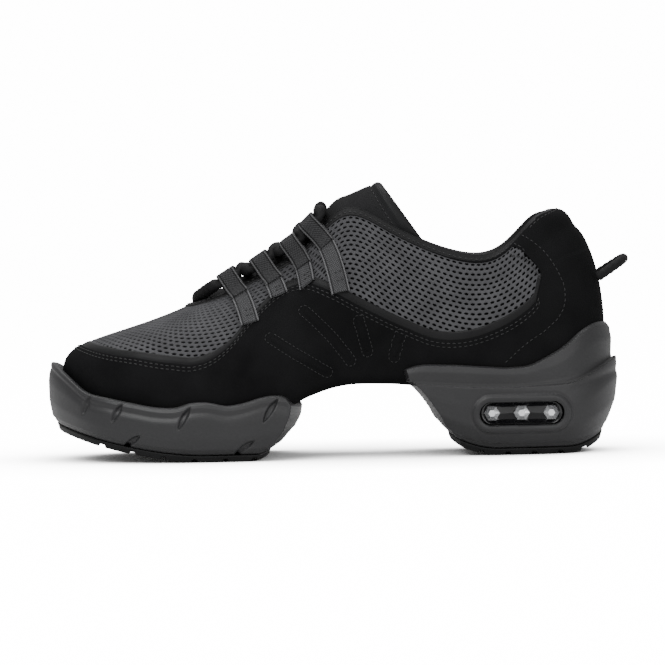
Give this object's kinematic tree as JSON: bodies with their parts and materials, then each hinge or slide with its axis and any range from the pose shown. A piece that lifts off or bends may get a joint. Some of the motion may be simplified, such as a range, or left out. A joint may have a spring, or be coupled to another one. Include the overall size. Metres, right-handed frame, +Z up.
{
  "type": "split-sole dance sneaker",
  "caption": "Low lace-up dance sneaker with a suede and mesh upper, webbing lace loops, a split sole bare at the arch, and a clear cushion through the heel",
  "frame": {"origin": "on the floor, at the middle of the heel outsole's flat tread", "axes": "toe along -X, heel along +X, outer side of the foot along -Y, inner side along +Y, up along +Z"},
  "size_m": [0.2672, 0.1032, 0.1255],
  "materials": {
    "suede": "black suede with a grey mesh panel",
    "tongue_suede": "padded dark textile",
    "lining": "matt black lining",
    "midsole": "satin dark grey foam rubber",
    "outsole": "matt dark rubber",
    "cushion": "smoky clear bar",
    "capsule": "bright faceted capsule",
    "lace": "round braided cord",
    "webbing": "grey woven webbing with lighter edges"
  },
  "bodies": {
    "root": {"upper": "suede", "tongue": "tongue_suede", "insole": "lining", "forefoot_midsole": "midsole", "heel_midsole": "midsole", "forefoot_outsole": "outsole", "heel_outsole": "outsole", "heel_cushion": "cushion", "cushion_capsule_1": "capsule", "cushion_capsule_2": "capsule", "cushion_capsule_3": "capsule", "lace": "lace", "pull_loop": "lace", "lace_loop_outer_1": "webbing", "lace_loop_outer_2": "webbing", "lace_loop_outer_3": "webbing", "lace_loop_outer_4": "webbing", "lace_loop_inner_1": "webbing", "lace_loop_inner_2": "webbing", "lace_loop_inner_3": "webbing", "lace_loop_inner_4": "webbing"}
  },
  "joints": []
}
